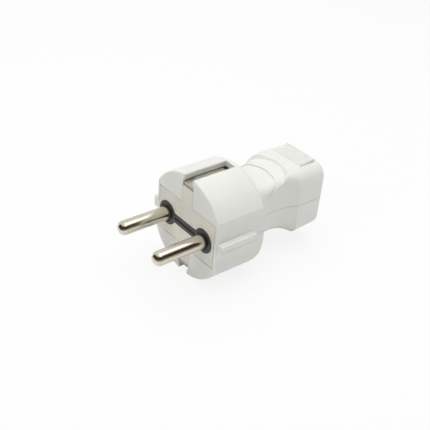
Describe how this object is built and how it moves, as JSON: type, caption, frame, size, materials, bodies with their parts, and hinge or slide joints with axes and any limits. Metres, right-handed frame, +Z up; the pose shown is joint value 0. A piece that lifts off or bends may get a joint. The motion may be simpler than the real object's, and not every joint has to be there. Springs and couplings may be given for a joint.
{
  "type": "type f plug",
  "caption": "Straight mains plug with a round front, pins on an insulating bridge, earth strips in side notches, a waisted neck and a flared grip with a ribbed thumb ramp.",
  "frame": {"origin": "centre of the engagement face, halfway between the pins", "axes": "+X along the pin pitch, towards the right pin; +Y from the pins to the cord entry, so the pins point along -Y; +Z up, square to the plane of the pins, towards the upper earth notch and the thumb ramp"},
  "size_m": [0.0362, 0.07, 0.0362],
  "materials": {
    "casing": "white thermoplastic, semi-gloss moulding",
    "carrier": "cream thermoplastic, satin moulding",
    "bridge": "dark grey thermoset, matt",
    "pins": "nickel-plated brass, bright",
    "earth": "nickel-plated brass strip, satin",
    "screws": "zinc-plated steel",
    "inserts": "plain turned brass"
  },
  "bodies": {
    "root": {"upper_shell": "casing", "lower_shell": "casing", "contact_carrier": "carrier", "pin_bridge": "bridge", "left_pin": "pins", "right_pin": "pins", "left_terminal_screw": "screws", "right_terminal_screw": "screws", "earth_strip": "earth", "earth_washer": "earth", "earth_screw": "screws", "cord_clamp": "bridge", "left_clamp_screw": "screws", "right_clamp_screw": "screws", "front_left_screw": "screws", "front_left_insert": "inserts", "front_right_screw": "screws", "front_right_insert": "inserts", "rear_left_screw": "screws", "rear_left_insert": "inserts", "rear_right_screw": "screws", "rear_right_insert": "inserts"}
  },
  "joints": []
}
